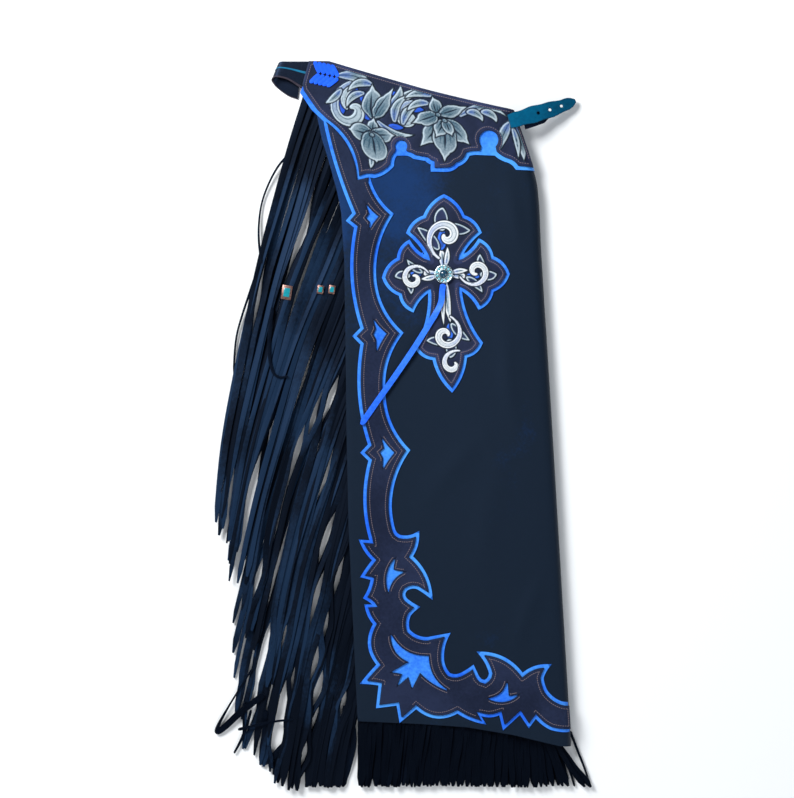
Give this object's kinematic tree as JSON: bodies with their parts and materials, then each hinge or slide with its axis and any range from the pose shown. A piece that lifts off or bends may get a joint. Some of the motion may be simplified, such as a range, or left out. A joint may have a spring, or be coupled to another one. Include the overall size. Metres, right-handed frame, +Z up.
{
  "type": "pair of fringed leather chaps, folded lengthwise and laid flat",
  "caption": "Pair of western show chaps in dark navy leather with blue trim, folded together and laid flat, outer side of one leg up, with long fringe.",
  "frame": {"origin": "centre of the part's box in X and Y, on the surface that the folded chaps lie on", "axes": "+X from the fringed back edge towards the fold along the shin, +Y from the hem towards the waist, +Z up off the surface"},
  "size_m": [0.5311, 1.0166, 0.0329],
  "materials": {
    "navy_leather": "soft, semi-matt chap leather",
    "black_leather": "smooth, semi-matt",
    "blue_leather": "metallic bright blue, semi-gloss",
    "tooled_leather": "carved, painted silver-grey and blue",
    "teal_leather": "dyed teal, semi-gloss",
    "silver": "engraved silver plate",
    "fringe_leather": "smooth, semi-gloss"
  },
  "bodies": {
    "root": {"under_layers": "black_leather", "leg_panel": "navy_leather", "border_underlay": "blue_leather", "border_overlay": "black_leather", "yoke_underlay": "blue_leather", "yoke": "tooled_leather", "cross_underlay": "blue_leather", "cross_overlay": "tooled_leather", "concho": "silver", "concho_tie": "blue_leather", "belt": "black_leather", "belt_lacing": "blue_leather", "billet": "teal_leather", "under_strap": "black_leather", "side_fringe_upper": "fringe_leather", "side_fringe_lower": "fringe_leather", "hem_fringe_upper": "fringe_leather", "hem_fringe_lower": "fringe_leather", "fringe_concho_1": "teal_leather", "fringe_concho_2": "teal_leather", "fringe_concho_3": "teal_leather"}
  },
  "joints": []
}
